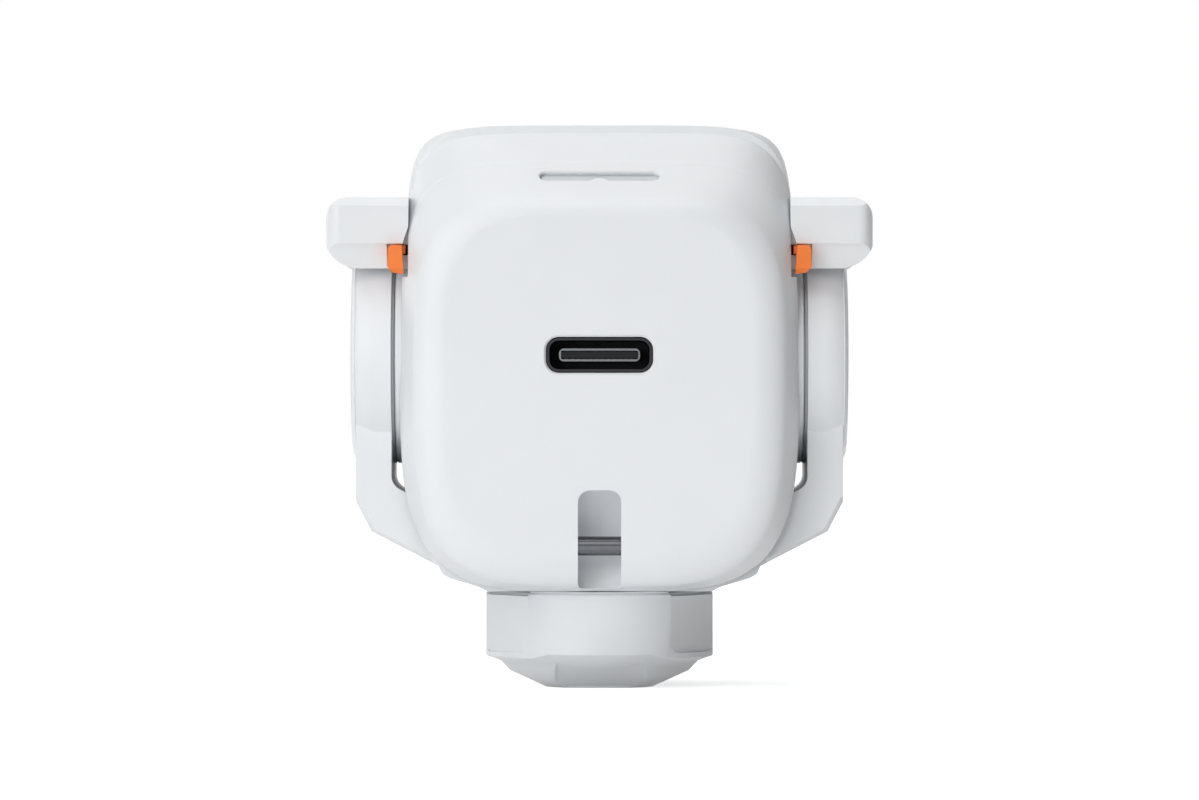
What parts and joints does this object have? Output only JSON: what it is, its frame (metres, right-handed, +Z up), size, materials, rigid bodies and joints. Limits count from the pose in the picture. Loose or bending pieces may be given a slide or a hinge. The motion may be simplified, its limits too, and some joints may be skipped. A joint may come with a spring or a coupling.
{
  "type": "usb-c power module",
  "caption": "Small white USB-C power module with side ears and orange release buttons, tilting in a U-shaped yoke on a swivel knob.",
  "frame": {"origin": "centre of the round foot under the knob, on the surface that the part stands on", "axes": "+Z up along the swivel axis, X across the yoke along the tilt axis, the USB-C face towards -Y"},
  "size_m": [0.0458, 0.026, 0.0475],
  "materials": {
    "white_plastic": "fine satin moulding",
    "orange_plastic": "satin",
    "black_plastic": "satin",
    "light_guide": "frosted, translucent",
    "steel": "plain",
    "bronze": "sintered",
    "contacts": "plated",
    "board": "solder mask",
    "ferrite": "ground",
    "winding": "taped",
    "can": "satin",
    "chip": "moulded",
    "aluminium": "satin",
    "pad": "soft",
    "lamp": "clear"
  },
  "bodies": {
    "base": {"knob": "white_plastic", "foot_disc": "white_plastic", "spindle": "steel", "spindle_screw": "steel", "swivel_washer": "black_plastic"},
    "yoke": {"yoke": "white_plastic", "hub_bush": "bronze", "arm_cap_left": "white_plastic", "arm_cap_right": "white_plastic", "pivot_pin_left": "steel", "pivot_pin_right": "steel", "friction_washer_left": "black_plastic", "friction_washer_right": "black_plastic"},
    "head": {"rear_cover": "white_plastic", "main_housing": "white_plastic", "front_cover": "white_plastic", "pivot_disc_left": "white_plastic", "pivot_disc_right": "white_plastic", "disc_clips": "steel", "ear_left": "white_plastic", "ear_right": "white_plastic", "ear_screws": "steel", "lanyard_pin": "steel", "light_guide": "light_guide", "led": "lamp", "led_board": "board", "usb_shell": "steel", "usb_tongue": "black_plastic", "usb_collar": "steel", "usb_contacts": "contacts", "port_board": "board", "main_board": "board", "case_screws": "steel", "transformer_core": "ferrite", "transformer_winding": "winding", "capacitors": "can", "inductor": "ferrite", "power_chips": "chip", "control_chips": "chip", "heat_spreader": "aluminium", "thermal_pad": "pad", "button_spring_left": "steel", "button_spring_right": "steel"},
    "button_left": {"button_left": "orange_plastic"},
    "button_right": {"button_right": "orange_plastic"}
  },
  "joints": [
    {"name": "pan", "type": "hinge", "parent": "base", "child": "yoke", "pos_m": [0, 0, 0.00825], "axis": [0, 0, 1], "continuous": true},
    {"name": "tilt", "type": "hinge", "parent": "yoke", "child": "head", "pos_m": [0, 0, 0.02805], "axis": [-1, 0, 0], "range_deg": [0, 60]},
    {"name": "button_left", "type": "slide", "parent": "head", "child": "button_left", "axis": [0, 1, 0], "range_m": [0, 0.0005], "stiffness_N_per_m": 300, "springref_m": -0.001, "deforming": ["button_spring_left"]},
    {"name": "button_right", "type": "slide", "parent": "head", "child": "button_right", "axis": [0, 1, 0], "range_m": [0, 0.0005], "stiffness_N_per_m": 300, "springref_m": -0.001, "deforming": ["button_spring_right"]}
  ]
}
